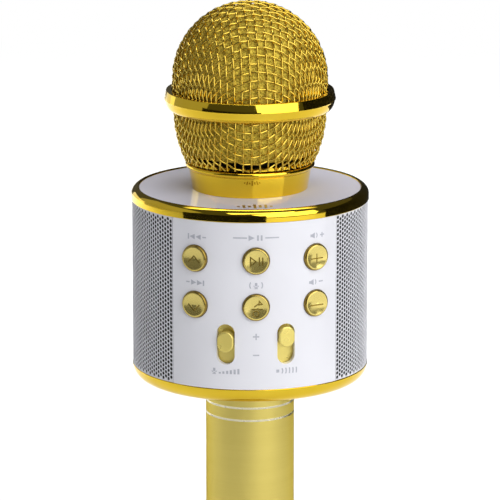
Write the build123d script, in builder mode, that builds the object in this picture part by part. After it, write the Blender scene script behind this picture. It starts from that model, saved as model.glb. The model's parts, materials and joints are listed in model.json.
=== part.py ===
"""Wireless karaoke microphone: ball grille, speaker drum with its controls, and battery handle."""
from build123d import *
import os
from math import cos, radians, sin

os.makedirs("parts", exist_ok=True)

# ---- Driving dimensions, in millimetres ----
# The base of the end cap is z = 0. The front panel faces -Y, and azimuths are
# measured from -Y towards +X.
handle_radius = 15.0
handle_wall = 1.5
handle_top = 129.0
end_cap_height = 9.0
seal_height = 0.8
groove_heights = (105.3, 109.6)
groove_depth = 0.25

drum_bottom = 117.6
drum_height = 65.4
plate_level = drum_bottom + drum_height
shell_radius = 39.8
shell_bottom = drum_bottom + 5.2
shell_top = plate_level - 3.7
panel_thickness = 2.0
panel_half_angle = 42.7
grille_thickness = 0.7
shell_gap = 0.05
plate_radius = 37.2
plate_thickness = 2.0

button_radius = 4.5
button_proud = 1.0
button_travel = 0.5
button_gap = 0.12
dish_width = 7.4
dish_depth = 0.3
upper_row = plate_level - 16.5
lower_row = plate_level - 32.1
side_column = 30.0

slider_azimuth = 14.5
slot_centre = plate_level - 44.85
slot_length = 13.7
slot_width = 6.0
knob_length = 7.0
knob_width = 5.4
slider_proud = 1.2

board_radius = 34.0
board_thickness = 1.2
screw_radius = 0.9
pilot_radius = 0.95

speaker_height = plate_level - 32.8
speaker_screw_circle = 20.4
basket_radius = 21.9
baffle_inside = 23.5
baffle_outside = 25.5

collar_foot = 19.5
collar_top = plate_level + 9.1
mesh_thickness = 0.9
ball_radius = 26.2
ball_centre = plate_level + 37.0
mesh_start = plate_level + 9.45
band_bottom = plate_level + 26.6
band_ridge = plate_level + 30.4
band_top = plate_level + 33.35


# ---- Shared shapes ----
def outline(*points):
    """Closed outline of (radius, height) points in the XZ plane, to be revolved."""
    with BuildSketch(Plane.XZ) as profile:
        with BuildLine():
            Polyline(*points, close=True)
        make_face()
    return profile.sketch


def radial_plane(azimuth, height, radius):
    """Plane that faces outwards from the drum's axis, with its y axis up."""
    angle = radians(azimuth)
    outward = Vector(sin(angle), -cos(angle), 0)
    origin = outward * radius + Vector(0, 0, height)
    return Plane(origin=origin, x_dir=(cos(angle), sin(angle), 0), z_dir=outward)


def back_plane(x, depth, height):
    """Plane that faces backwards, along +Y, with its y axis up."""
    return Plane(origin=(x, depth, height), x_dir=(-1, 0, 0), z_dir=(0, 1, 0))


def disc(plane, radius, x=0, y=0):
    with BuildSketch(plane) as profile:
        with Locations((x, y)):
            Circle(radius)
    return profile.sketch


def block(plane, width, height, x=0, y=0):
    with BuildSketch(plane) as profile:
        with Locations((x, y)):
            Rectangle(width, height)
    return profile.sketch


def oblong(plane, length, width):
    """Upright slot shape with round ends."""
    with BuildSketch(plane) as profile:
        SlotOverall(length, width, rotation=90)
    return profile.sketch


def wall_sector(outer, inner, azimuth, half_angle, bottom):
    """Plan of a curved wall, centred on an azimuth."""
    start = azimuth - 90 - half_angle
    with BuildSketch(Plane.XY.offset(bottom)) as plan:
        with BuildLine():
            outside = CenterArc((0, 0), outer, start, 2 * half_angle)
            inside = CenterArc((0, 0), inner, start, 2 * half_angle)
            Line(outside @ 0, inside @ 0)
            Line(outside @ 1, inside @ 1)
        make_face()
    return plan.sketch


def stroke(plane, *points, width=0.4, close=False):
    """Line of even width through the points."""
    with BuildSketch(plane) as mark:
        with BuildLine():
            Polyline(*points, close=close)
        trace(line_width=width)
    return mark.sketch


def save(builder, name):
    builder.part.label = name
    export_step(builder.part, f"parts/{name}.step")


# ---- Handle: end cap, seal, battery and tube ----
thread_radius = handle_radius - handle_wall - 0.08
spigot_top = end_cap_height + 11.0
cup_floor = 6.5
cup_radius = 11.2

with BuildPart() as end_cap:
    revolve(
        outline(
            (0, 0),
            (handle_radius, 0),
            (handle_radius, end_cap_height),
            (thread_radius, end_cap_height),
            (thread_radius, spigot_top),
            (cup_radius, spigot_top),
            (cup_radius, cup_floor),
            (0, cup_floor),
        ),
        axis=Axis.Z,
    )
    fillet(end_cap.edges().group_by(Axis.Z)[0], radius=1.6)
    extrude(block(Plane.XY, 16.0, 1.6), amount=1.2, mode=Mode.SUBTRACT)
save(end_cap, "end_cap")

with BuildPart() as end_cap_seal:
    seal_section = block(Plane.XZ, 1.2, seal_height, x=14.1, y=end_cap_height + seal_height / 2)
    revolve(seal_section, axis=Axis.Z)
    fillet(end_cap_seal.edges().filter_by(GeomType.CIRCLE).group_by(SortBy.LENGTH)[-1], radius=0.3)
save(end_cap_seal, "end_cap_seal")

battery_radius = 9.2
battery_bottom = 16.0
battery_length = 65.2
battery_top = battery_bottom + battery_length + 0.8

spring_radius = 6.2
wire_radius = 0.45
spring_start = cup_floor + wire_radius + 0.05
spring_rise = battery_bottom - cup_floor - 2 * wire_radius - 0.1
with BuildPart() as battery_spring:
    with BuildLine() as coil:
        Helix(pitch=spring_rise / 4, height=spring_rise, radius=spring_radius, center=(0, 0, spring_start))
    with BuildSketch(Plane(origin=coil.line @ 0, z_dir=coil.line % 0)):
        Circle(wire_radius)
    sweep(is_frenet=True)
save(battery_spring, "battery_spring")

with BuildPart() as battery_cell:
    revolve(
        outline(
            (0, battery_bottom),
            (battery_radius, battery_bottom),
            (battery_radius, battery_bottom + battery_length),
            (3.2, battery_bottom + battery_length),
            (3.2, battery_top),
            (0, battery_top),
        ),
        axis=Axis.Z,
    )
    fillet(battery_cell.edges().filter_by(GeomType.CIRCLE).group_by(SortBy.LENGTH)[-1], radius=0.8)
save(battery_cell, "battery_cell")

contact_thickness = 0.4
contact_bottom = battery_top + 0.05
with BuildPart() as battery_contact:
    extrude(disc(Plane.XY.offset(contact_bottom), 5.0), amount=contact_thickness)
    tab = block(Plane.XY.offset(contact_bottom), 2.4, contact_thickness)
    extrude(tab, amount=5.0)
save(battery_contact, "battery_contact")

sleeve_ceiling = contact_bottom + contact_thickness + 0.05
with BuildPart() as battery_sleeve:
    revolve(
        outline(
            (battery_radius + 0.3, spigot_top + 0.6),
            (13.3, spigot_top + 0.6),
            (13.3, sleeve_ceiling + 2.0),
            (2.5, sleeve_ceiling + 2.0),
            (2.5, sleeve_ceiling),
            (battery_radius + 0.3, sleeve_ceiling),
        ),
        axis=Axis.Z,
    )
save(battery_sleeve, "battery_sleeve")

tube_bottom = end_cap_height + seal_height + shell_gap
tube_spigot_radius = handle_radius - 0.2
handle_screw_height = 125.0
with BuildPart() as handle_tube:
    extrude(disc(Plane.XY.offset(tube_bottom), handle_radius), amount=drum_bottom - tube_bottom)
    extrude(disc(Plane.XY.offset(drum_bottom), tube_spigot_radius), amount=handle_top - drum_bottom)
    bore = disc(Plane.XY.offset(tube_bottom), handle_radius - handle_wall)
    extrude(bore, amount=handle_top - tube_bottom, mode=Mode.SUBTRACT)
    for height in groove_heights:
        groove = outline(
            (handle_radius + 0.1, height - groove_depth - 0.1),
            (handle_radius + 0.1, height + groove_depth + 0.1),
            (handle_radius - groove_depth, height),
        )
        revolve(groove, axis=Axis.Z, mode=Mode.SUBTRACT)
    screw_hole = disc(Plane.YZ.offset(-handle_radius - 1), screw_radius + 0.1, y=handle_screw_height)
    extrude(screw_hole, amount=2 * handle_radius + 2, mode=Mode.SUBTRACT)
save(handle_tube, "handle_tube")

# ---- Drum base, its ring and its screws ----
socket_radius = 18.5
socket_bore = tube_spigot_radius + 0.05
socket_top = 131.0
base_screw_circle = 31.0
base_radius = 34.4
corner_azimuths = (45, 135, 225, 315)

with BuildPart() as drum_base:
    revolve(
        outline(
            (socket_bore, drum_bottom),
            (base_radius, drum_bottom),
            (base_radius, drum_bottom + 2.1),
            (37.6, drum_bottom + 2.1),
            (37.6, shell_bottom),
            (socket_radius, shell_bottom),
            (socket_radius, socket_top),
            (socket_bore, socket_top),
        ),
        axis=Axis.Z,
    )
    with BuildSketch(Plane.XY.offset(drum_bottom)):
        with PolarLocations(base_screw_circle, 4, start_angle=45):
            Circle(2.6)
    extrude(amount=2.0, mode=Mode.SUBTRACT)
    with BuildSketch(Plane.XY.offset(drum_bottom)):
        with PolarLocations(base_screw_circle, 4, start_angle=45):
            Circle(screw_radius + 0.3)
    extrude(amount=6.0, mode=Mode.SUBTRACT)
    side_hole = disc(Plane.YZ.offset(-socket_radius - 1), screw_radius + 0.1, y=handle_screw_height)
    extrude(side_hole, amount=2 * socket_radius + 2, mode=Mode.SUBTRACT)
save(drum_base, "drum_base")

with BuildPart() as handle_screws:
    for side in (-1, 1):
        head_plane = Plane(origin=(side * (socket_radius + 0.1), 0, handle_screw_height), z_dir=(side, 0, 0))
        extrude(disc(head_plane, 1.9), amount=1.3)
        extrude(disc(head_plane, screw_radius), amount=-5.2)
save(handle_screws, "handle_screws")

with BuildPart() as drum_screws:
    with BuildSketch(Plane.XY.offset(drum_bottom + 1.95)):
        with PolarLocations(base_screw_circle, 4, start_angle=45):
            Circle(2.3)
    extrude(amount=-1.5)
    with BuildSketch(Plane.XY.offset(drum_bottom + 1.95)):
        with PolarLocations(base_screw_circle, 4, start_angle=45):
            Circle(screw_radius)
    extrude(amount=12.0)
    with BuildSketch(Plane.XY.offset(drum_bottom + 0.45)):
        with PolarLocations(base_screw_circle, 4, start_angle=45):
            Rectangle(2.6, 0.55)
            Rectangle(0.55, 2.6)
    extrude(amount=1.0, mode=Mode.SUBTRACT)
save(drum_screws, "drum_screws")

ring_round = shell_bottom - drum_bottom
ring_inner_foot = base_radius + 0.1
with BuildPart() as bottom_trim_ring:
    with BuildSketch(Plane.XZ):
        with BuildLine():
            Line((ring_inner_foot, drum_bottom), (shell_radius - ring_round, drum_bottom))
            CenterArc((shell_radius - ring_round, shell_bottom), ring_round, -90, 90)
            Polyline(
                (shell_radius, shell_bottom),
                (37.7, shell_bottom),
                (37.7, drum_bottom + 2.0),
                (ring_inner_foot, drum_bottom + 2.0),
                (ring_inner_foot, drum_bottom),
            )
        make_face()
    revolve(axis=Axis.Z)
save(bottom_trim_ring, "bottom_trim_ring")

# ---- Chassis: two rings, four ribs and two speaker baffles ----
chassis_bottom = shell_bottom + 0.1
chassis_top = plate_level - plate_thickness - 0.1
ring_inner = 33.0
ring_outer = 37.5
chassis_ring = 1.6
with BuildPart() as chassis:
    for level in (chassis_bottom, chassis_top - chassis_ring):
        with BuildSketch(Plane.XY.offset(level)):
            Circle(ring_outer)
            Circle(ring_inner, mode=Mode.SUBTRACT)
        extrude(amount=chassis_ring)
    for azimuth in corner_azimuths:
        with BuildSketch(Plane.XY.offset(chassis_bottom)):
            with Locations(Location((0, 0, 0), (0, 0, azimuth))):
                with Locations((base_screw_circle + 3.2, 0)):
                    Rectangle(6.4, 5.0)
                with Locations((base_screw_circle, 0)):
                    Circle(3.0)
        extrude(amount=chassis_top - chassis_bottom)
    for side in (-1, 1):
        with BuildSketch(Plane.XY.offset(chassis_bottom)):
            with Locations((side * (baffle_inside + baffle_outside) / 2, 0)):
                Rectangle(baffle_outside - baffle_inside, 50.0)
        extrude(amount=chassis_top - chassis_bottom)
        extrude(
            disc(Plane.YZ.offset(side * (baffle_inside - 1)), 18.3, y=speaker_height),
            amount=side * 4.0,
            mode=Mode.SUBTRACT,
        )
        with BuildSketch(Plane.YZ.offset(side * (baffle_inside - 1))):
            with Locations((0, speaker_height)):
                with PolarLocations(speaker_screw_circle, 4, start_angle=45):
                    Circle(pilot_radius)
        extrude(amount=side * 4.0, mode=Mode.SUBTRACT)
    with BuildSketch(Plane.XY.offset(chassis_bottom)):
        with PolarLocations(base_screw_circle, 4, start_angle=45):
            Circle(pilot_radius)
    extrude(amount=12.0, mode=Mode.SUBTRACT)
save(chassis, "chassis")


# ---- Speakers, one behind each side grille ----
def speaker_outline(side, *points):
    """Outline of (distance from the drum's axis, radius) points for one speaker."""
    return outline(*[(side * x, speaker_height + radius) for x, radius in points])


speaker_axis = Axis((0, 0, speaker_height), (1, 0, 0))
for side, side_name in ((-1, "left"), (1, "right")):
    with BuildPart() as basket:
        revolve(
            speaker_outline(
                side,
                (25.6, basket_radius),
                (27.0, basket_radius),
                (27.0, 19.0),
                (26.2, 19.0),
                (26.2, 17.6),
                (18.0, 12.6),
                (16.2, 12.6),
                (16.2, 6.5),
                (15.4, 6.5),
                (15.4, 13.4),
                (17.8, 13.4),
                (24.8, 18.0),
                (25.6, 18.0),
            ),
            axis=speaker_axis,
        )
        with BuildSketch(Plane.YZ.offset(side * 25.0)):
            with Locations((0, speaker_height)):
                with PolarLocations(speaker_screw_circle, 4, start_angle=45):
                    Circle(pilot_radius + 0.1)
        extrude(amount=side * 3.0, mode=Mode.SUBTRACT)
    save(basket, f"speaker_basket_{side_name}")

    with BuildPart() as magnet:
        magnet_section = speaker_outline(side, (7.6, 0), (7.6, 11.2), (8.4, 12), (15.35, 12), (15.35, 0))
        revolve(magnet_section, axis=speaker_axis)
    save(magnet, f"speaker_magnet_{side_name}")

    with BuildPart() as cone:
        revolve(
            speaker_outline(
                side,
                (26.35, 18.9),
                (26.95, 18.9),
                (27.7, 17.9),
                (27.7, 17.0),
                (26.6, 15.9),
                (20.4, 6.3),
                (21.4, 3.5),
                (21.8, 0),
                (21.4, 0),
                (21.0, 3.3),
                (19.8, 5.7),
                (15.8, 5.7),
                (15.8, 6.2),
                (19.6, 6.2),
                (26.1, 16.3),
                (27.3, 17.3),
                (27.3, 17.7),
                (26.6, 18.5),
                (26.35, 18.5),
            ),
            axis=speaker_axis,
        )
    save(cone, f"speaker_cone_{side_name}")

with BuildPart() as speaker_screws:
    for side in (-1, 1):
        with BuildSketch(Plane.YZ.offset(side * 27.05)):
            with Locations((0, speaker_height)):
                with PolarLocations(speaker_screw_circle, 4, start_angle=45):
                    Circle(1.7)
        extrude(amount=side * 1.2)
        with BuildSketch(Plane.YZ.offset(side * 27.05)):
            with Locations((0, speaker_height)):
                with PolarLocations(speaker_screw_circle, 4, start_angle=45):
                    Circle(screw_radius)
        extrude(amount=side * -4.6)
save(speaker_screws, "speaker_screws")

# ---- Curved covers of the drum ----
cover_bottom = shell_bottom + shell_gap
cover_height = shell_top - shell_gap - cover_bottom
panel_inner = shell_radius - panel_thickness
button_layout = {
    "previous_button": (-side_column, upper_row),
    "next_button": (-side_column, lower_row),
    "play_button": (0.0, upper_row),
    "voice_button": (0.0, lower_row),
    "volume_up_button": (side_column, upper_row),
    "volume_down_button": (side_column, lower_row),
}
board_bosses = ((-15.5, -24.5), (15.5, -24.5), (-36.0, -52.0), (36.0, -52.0))

with BuildPart() as front_panel:
    plan = wall_sector(shell_radius, panel_inner, 0, panel_half_angle, cover_bottom)
    extrude(plan, amount=cover_height)
    outer_corners = front_panel.edges().filter_by(Axis.Z).group_by(Axis.Y)[-1]
    fillet(outer_corners, radius=0.4)
    for azimuth, drop in board_bosses:
        boss_plane = radial_plane(azimuth, plate_level + drop, board_radius + 0.1)
        extrude(disc(boss_plane, 1.8), amount=4.0)
        extrude(disc(boss_plane, pilot_radius), amount=3.0, mode=Mode.SUBTRACT)
    for azimuth, height in button_layout.values():
        hole = disc(radial_plane(azimuth, height, panel_inner - 2), button_radius + button_gap)
        extrude(hole, amount=6.0, mode=Mode.SUBTRACT)
    for azimuth in (-slider_azimuth, slider_azimuth):
        slot = oblong(radial_plane(azimuth, slot_centre, panel_inner - 2), slot_length, slot_width)
        extrude(slot, amount=6.0, mode=Mode.SUBTRACT)
save(front_panel, "front_panel")

# The ports stand in one column on the back panel.
usb_height = plate_level - 13.0
card_height = plate_level - 22.5
micro_height = plate_level - 31.0
jack_height = plate_level - 40.0
light_height = plate_level - 47.5
light_spread = 4.5
power_height = plate_level - 54.0
power_travel = 4.0
main_board_front = 25.2
main_board_bosses = ((-14, -12), (14, -12), (-14, -54), (14, -54))

with BuildPart() as back_panel:
    plan = wall_sector(shell_radius, panel_inner, 180, panel_half_angle, cover_bottom)
    extrude(plan, amount=cover_height)
    for x, drop in main_board_bosses:
        post_plane = back_plane(x, main_board_front + 0.1, plate_level + drop)
        extrude(disc(post_plane, 2.0), amount=10.6)
        extrude(disc(post_plane, pilot_radius), amount=5.0, mode=Mode.SUBTRACT)
    extrude(block(back_plane(0, 30, usb_height), 13.8, 6.4), amount=12, mode=Mode.SUBTRACT)
    extrude(block(back_plane(0, 30, card_height), 12.6, 2.5), amount=12, mode=Mode.SUBTRACT)
    extrude(block(back_plane(0, 30, micro_height), 8.4, 3.6), amount=12, mode=Mode.SUBTRACT)
    extrude(disc(back_plane(0, 30, jack_height), 3.3), amount=12, mode=Mode.SUBTRACT)
    for x in (-light_spread, light_spread):
        extrude(disc(back_plane(x, 30, light_height), 1.3), amount=12, mode=Mode.SUBTRACT)
    extrude(block(back_plane(0, 30, power_height), 8.0, 3.4), amount=12, mode=Mode.SUBTRACT)
save(back_panel, "back_panel")

grille_half_angle = 90 - panel_half_angle - 0.5
for azimuth, side_name in ((-90, "left"), (90, "right")):
    with BuildPart() as grille:
        plan = wall_sector(
            shell_radius - 0.15,
            shell_radius - 0.15 - grille_thickness,
            azimuth,
            grille_half_angle,
            cover_bottom,
        )
        extrude(plan, amount=cover_height)
    save(grille, f"{side_name}_grille")

# ---- Control board behind the front panel ----
with BuildPart() as control_board:
    plan = wall_sector(board_radius, board_radius - board_thickness, 0, 40.0, plate_level - 57.5)
    extrude(plan, amount=49.5)
    for azimuth, drop in board_bosses:
        hole = disc(radial_plane(azimuth, plate_level + drop, board_radius - 4), screw_radius + 0.1)
        extrude(hole, amount=6.0, mode=Mode.SUBTRACT)
save(control_board, "control_board")

with BuildPart() as control_board_screws:
    for azimuth, drop in board_bosses:
        seat = radial_plane(azimuth, plate_level + drop, board_radius - board_thickness - 0.1)
        extrude(disc(seat, 1.7), amount=-1.2)
        extrude(disc(seat, screw_radius), amount=3.8)
save(control_board_screws, "control_board_screws")

switch_top = board_radius + 1.2
plunger_top = switch_top + 0.3
with BuildPart() as tact_switches:
    for azimuth, height in button_layout.values():
        extrude(block(radial_plane(azimuth, height, board_radius), 4.5, 4.5), amount=1.2)
        extrude(disc(radial_plane(azimuth, height, switch_top), 1.2), amount=0.3)
save(tact_switches, "tact_switches")

pot_top = board_radius + 2.1
with BuildPart() as slide_pots:
    for azimuth in (-slider_azimuth, slider_azimuth):
        extrude(block(radial_plane(azimuth, slot_centre, board_radius), 7.0, 17.0), amount=2.1)
        lever_slot = block(radial_plane(azimuth, slot_centre, pot_top), 2.0, 10.4)
        extrude(lever_slot, amount=-0.9, mode=Mode.SUBTRACT)
save(slide_pots, "slide_pots")

# ---- Buttons: a dished round cap, a flange behind the panel and a stem ----
button_face = shell_radius + button_proud
flange_top = panel_inner - 0.5
flange_bottom = flange_top - 1.0
stem_end = plunger_top + button_travel + 0.1
dish_radius = (dish_width**2 / 4 + dish_depth**2) / (2 * dish_depth)
icon_depth = 0.18


def draw_icon(name, plane):
    """Sunk symbol in a button's face."""
    if name == "previous_button":
        return [stroke(plane, (-2.1, -1.3), (0, 0.9), (2.1, -1.3))]
    if name == "next_button":
        return [stroke(plane, (-2.1, 0.2), (0, -2.0), (2.1, 0.2))]
    if name == "play_button":
        triangle = stroke(plane, (-1.9, 1.4), (-1.9, -1.4), (-0.1, 0), close=True)
        bars = [stroke(plane, (x, 1.4), (x, -1.4)) for x in (1.0, 2.1)]
        return [triangle] + bars
    if name == "volume_up_button":
        return [stroke(plane, (-2.3, -0.4), (2.3, -0.4)), stroke(plane, (0, 1.2), (0, -2.0))]
    if name == "volume_down_button":
        return [stroke(plane, (-2.5, -0.6), (2.5, -0.6))]
    handle = stroke(plane, (-0.7, 0.3), (1.0, 1.5))
    head = stroke(plane, (1.0, 2.2), (1.9, 1.2), (0.9, 1.0), close=True)
    shelf = stroke(plane, (-1.5, -0.5), (2.1, -0.5))
    with BuildSketch(plane) as ring:
        with Locations((-0.1, -2.1)):
            Circle(1.1)
            Circle(0.75, mode=Mode.SUBTRACT)
    return [handle, head, shelf, ring.sketch]


for name, (azimuth, height) in button_layout.items():
    with BuildPart() as button:
        extrude(disc(radial_plane(azimuth, height, flange_top), button_radius), amount=button_face - flange_top)
        facing = radial_plane(azimuth, height, 0).z_dir
        rim = button.edges().sort_by(Axis((0, 0, height), facing))[-1]
        fillet(rim, radius=0.6)
        extrude(disc(radial_plane(azimuth, height, flange_bottom), 5.3), amount=flange_top - flange_bottom)
        extrude(disc(radial_plane(azimuth, height, stem_end), 1.6), amount=flange_bottom - stem_end)
        with Locations(radial_plane(azimuth, height, button_face + dish_radius - dish_depth)):
            Sphere(dish_radius, mode=Mode.SUBTRACT)
        for symbol in draw_icon(name, radial_plane(azimuth, height, button_face)):
            extrude(symbol, amount=-dish_depth - icon_depth, mode=Mode.SUBTRACT)
    save(button, name)

# ---- Sliders: an oblong knob, a cover plate behind the panel and a lever ----
slider_rest = {
    "mic_volume_slider": (-slider_azimuth, slot_centre + slot_length / 2 - 2.4 - knob_length / 2),
    "reverb_slider": (slider_azimuth, slot_centre + slot_length / 2 - 0.8 - knob_length / 2),
}
slider_plate_bottom = pot_top + 0.5
slider_plate_top = flange_top
for name, (azimuth, height) in slider_rest.items():
    with BuildPart() as slider:
        knob_plane = radial_plane(azimuth, height, slider_plate_top)
        knob_height = shell_radius + slider_proud - slider_plate_top
        extrude(oblong(knob_plane, knob_length, knob_width), amount=knob_height)
        facing = radial_plane(azimuth, height, 0).z_dir
        fillet(slider.faces().sort_by(Axis((0, 0, height), facing))[-1].edges(), radius=0.5)
        cover = block(radial_plane(azimuth, height, slider_plate_bottom), 7.4, 20.6)
        extrude(cover, amount=slider_plate_top - slider_plate_bottom)
        lever = block(radial_plane(azimuth, height, slider_plate_bottom), 1.6, 3.0)
        extrude(lever, amount=-1.2)
    save(slider, name)

# ---- Main board behind the back panel, with its sockets ----
socket_seat = main_board_front + 0.1
with BuildPart() as main_board:
    board_face = block(back_plane(0, main_board_front, plate_level - 33.0), 34.0, 50.0)
    extrude(board_face, amount=-board_thickness)
    for x, drop in main_board_bosses:
        hole = disc(back_plane(x, main_board_front, plate_level + drop), screw_radius + 0.1)
        extrude(hole, amount=-board_thickness, mode=Mode.SUBTRACT)
save(main_board, "main_board")

with BuildPart() as main_board_screws:
    for x, drop in main_board_bosses:
        seat = back_plane(x, main_board_front - board_thickness - 0.1, plate_level + drop)
        extrude(disc(seat, 1.7), amount=-1.2)
        extrude(disc(seat, screw_radius), amount=5.5)
save(main_board_screws, "main_board_screws")

component_face = main_board_front - board_thickness - 0.05
with BuildPart() as main_board_components:
    extrude(block(back_plane(5, component_face, plate_level - 26), 9.0, 9.0), amount=-1.2)
    extrude(block(back_plane(-6, component_face, plate_level - 42), 6.0, 6.0), amount=-1.0)
    extrude(disc(back_plane(-4, component_face, plate_level - 16), 2.5), amount=-7.0)
    extrude(disc(back_plane(4, component_face, plate_level - 48), 2.5), amount=-7.0)
save(main_board_components, "main_board_components")

usb_mouth = 39.0
with BuildPart() as usb_socket:
    extrude(block(back_plane(0, socket_seat, usb_height), 13.2, 5.8), amount=usb_mouth - socket_seat)
    cavity = block(back_plane(0, usb_mouth, usb_height), 12.5, 5.1)
    extrude(cavity, amount=-10.5, mode=Mode.SUBTRACT)
    tongue = block(back_plane(0, usb_mouth - 11, usb_height), 11.1, 1.8, y=1.2)
    extrude(tongue, amount=10.0)
save(usb_socket, "usb_socket")

card_mouth = 38.6
with BuildPart() as card_socket:
    extrude(block(back_plane(0, socket_seat, card_height), 12.0, 1.9), amount=card_mouth - socket_seat)
    cavity = block(back_plane(0, card_mouth, card_height), 11.2, 1.0)
    extrude(cavity, amount=-12.0, mode=Mode.SUBTRACT)
save(card_socket, "card_socket")

micro_mouth = 39.2
with BuildPart() as micro_usb_socket:
    extrude(block(back_plane(0, socket_seat, micro_height), 7.6, 2.8), amount=micro_mouth - socket_seat)
    corners = micro_usb_socket.edges().filter_by(Axis.Y).group_by(Axis.Z)[0]
    chamfer(corners, length=0.9)
    with BuildSketch(back_plane(0, micro_mouth, micro_height)):
        Rectangle(6.9, 2.0)
        chamfer(vertices().group_by(Axis.Z)[0], length=0.8)
    extrude(amount=-6.0, mode=Mode.SUBTRACT)
    extrude(block(back_plane(0, micro_mouth - 6.5, micro_height), 3.7, 0.6, y=0.3), amount=5.8)
save(micro_usb_socket, "micro_usb_socket")

jack_mouth = 39.4
jack_depth = 12.0
jack_bore = 1.8
with BuildPart() as audio_jack:
    extrude(block(back_plane(0, socket_seat, jack_height), 7.0, 6.6), amount=9.0)
    extrude(disc(back_plane(0, socket_seat + 9.0, jack_height), 3.0), amount=jack_mouth - socket_seat - 9.0)
    bore = disc(back_plane(0, jack_mouth, jack_height), jack_bore)
    extrude(bore, amount=-jack_depth, mode=Mode.SUBTRACT)
save(audio_jack, "audio_jack")

light_end = 39.5
with BuildPart() as status_lights:
    for x in (-light_spread, light_spread):
        extrude(disc(back_plane(x, socket_seat, light_height), 1.2), amount=light_end - socket_seat)
save(status_lights, "status_lights")

switch_body_depth = 4.6
with BuildPart() as power_switch_body:
    extrude(block(back_plane(0, socket_seat, power_height), 10.0, 4.6), amount=switch_body_depth)
    track = block(back_plane(0, socket_seat + switch_body_depth, power_height), 7.0, 2.0)
    extrude(track, amount=-2.0, mode=Mode.SUBTRACT)
save(power_switch_body, "power_switch_body")

power_rest = power_travel / 2
power_plate = 35.6
with BuildPart() as power_switch_knob:
    extrude(block(back_plane(power_rest, power_plate, power_height), 12.4, 5.6), amount=0.8)
    extrude(block(back_plane(power_rest, power_plate + 0.8, power_height), 3.6, 3.0), amount=4.0)
    top_face = power_switch_knob.faces().sort_by(Axis.Y)[-1]
    fillet(top_face.edges(), radius=0.4)
    extrude(block(back_plane(power_rest, power_plate, power_height), 1.6, 1.6), amount=-7.0)
save(power_switch_knob, "power_switch_knob")

# ---- Top plate, its ring and the neck ----
neck_screw_circle = 13.6
with BuildPart() as top_plate:
    with BuildSketch(Plane.XY.offset(plate_level - plate_thickness)):
        Circle(plate_radius)
        Circle(7.5, mode=Mode.SUBTRACT)
        with PolarLocations(neck_screw_circle, 3, start_angle=90):
            Circle(screw_radius + 0.2, mode=Mode.SUBTRACT)
    extrude(amount=plate_thickness)
save(top_plate, "top_plate")

with BuildPart() as top_trim_ring:
    with BuildSketch(Plane.XZ):
        with BuildLine():
            Polyline(
                (plate_radius + 0.1, plate_level + 0.05),
                (plate_radius + 0.1, plate_level - plate_thickness),
                (37.9, plate_level - plate_thickness),
                (37.9, shell_top),
                (shell_radius, shell_top),
            )
            Spline(
                (shell_radius, shell_top),
                (40.0, plate_level - 2.0),
                (39.5, plate_level - 0.3),
                (38.4, plate_level + 0.5),
                (plate_radius + 0.1, plate_level + 0.05),
                tangents=((0.05, 1), (-0.9, -0.6)),
            )
        make_face()
    revolve(axis=Axis.Z)
save(top_trim_ring, "top_trim_ring")

collar_bore = 18.6
collar_floor = plate_level + 3.0
with BuildPart() as neck_collar:
    with BuildSketch(Plane.XZ):
        with BuildLine():
            Spline(
                (collar_foot, plate_level + 0.05),
                (collar_foot + 0.6, plate_level + 3.6),
                (collar_foot + 1.05, plate_level + 6.7),
            )
            Line((collar_foot + 1.05, plate_level + 6.7), (21.35, plate_level + 7.15))
            ThreePointArc((21.35, plate_level + 7.15), (21.75, plate_level + 8.1), (21.35, collar_top))
            Polyline(
                (21.35, collar_top),
                (collar_bore, collar_top),
                (collar_bore, collar_floor),
                (7.5, collar_floor),
                (7.5, plate_level + 0.05),
                (collar_foot, plate_level + 0.05),
            )
        make_face()
    revolve(axis=Axis.Z)
    with BuildSketch(Plane.XY.offset(plate_level)):
        with PolarLocations(neck_screw_circle, 3, start_angle=90):
            Circle(pilot_radius)
    extrude(amount=5.0, mode=Mode.SUBTRACT)
save(neck_collar, "neck_collar")

with BuildPart() as neck_screws:
    with BuildSketch(Plane.XY.offset(plate_level - plate_thickness - 0.1)):
        with PolarLocations(neck_screw_circle, 3, start_angle=90):
            Circle(1.8)
    extrude(amount=-1.3)
    with BuildSketch(Plane.XY.offset(plate_level - plate_thickness - 0.1)):
        with PolarLocations(neck_screw_circle, 3, start_angle=90):
            Circle(screw_radius)
    extrude(amount=6.6)
save(neck_screws, "neck_screws")

# ---- Microphone capsule on its holder ----
holder_base = collar_floor + 0.05
cup_height = plate_level + 27.0
with BuildPart() as capsule_holder:
    revolve(
        outline(
            (7.5, holder_base),
            (16.4, holder_base),
            (16.4, holder_base + 2.0),
            (10.0, holder_base + 3.0),
            (10.0, cup_height - 3.0),
            (12.2, cup_height - 1.0),
            (12.2, cup_height + 8.0),
            (10.7, cup_height + 8.0),
            (10.7, cup_height),
            (7.5, cup_height),
        ),
        axis=Axis.Z,
    )
    with BuildSketch(Plane.XY.offset(holder_base)):
        with PolarLocations(neck_screw_circle, 3, start_angle=90):
            Circle(pilot_radius)
    extrude(amount=1.8, mode=Mode.SUBTRACT)
save(capsule_holder, "capsule_holder")

with BuildPart() as capsule_boot:
    revolve(
        outline(
            (6.5, cup_height + 0.1),
            (10.6, cup_height + 0.1),
            (10.6, cup_height + 9.5),
            (8.6, cup_height + 9.5),
            (8.6, cup_height + 1.2),
            (6.5, cup_height + 1.2),
        ),
        axis=Axis.Z,
    )
save(capsule_boot, "capsule_boot")

capsule_bottom = cup_height + 1.25
with BuildPart() as mic_capsule:
    extrude(disc(Plane.XY.offset(capsule_bottom), 8.5), amount=10.0)
    fillet(mic_capsule.edges().group_by(Axis.Z)[-1], radius=0.6)
    with BuildSketch(Plane.XY.offset(capsule_bottom + 10.0)):
        Circle(1.0)
        with PolarLocations(4.5, 6):
            Circle(1.0)
    extrude(amount=-1.0, mode=Mode.SUBTRACT)
save(mic_capsule, "mic_capsule")

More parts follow.
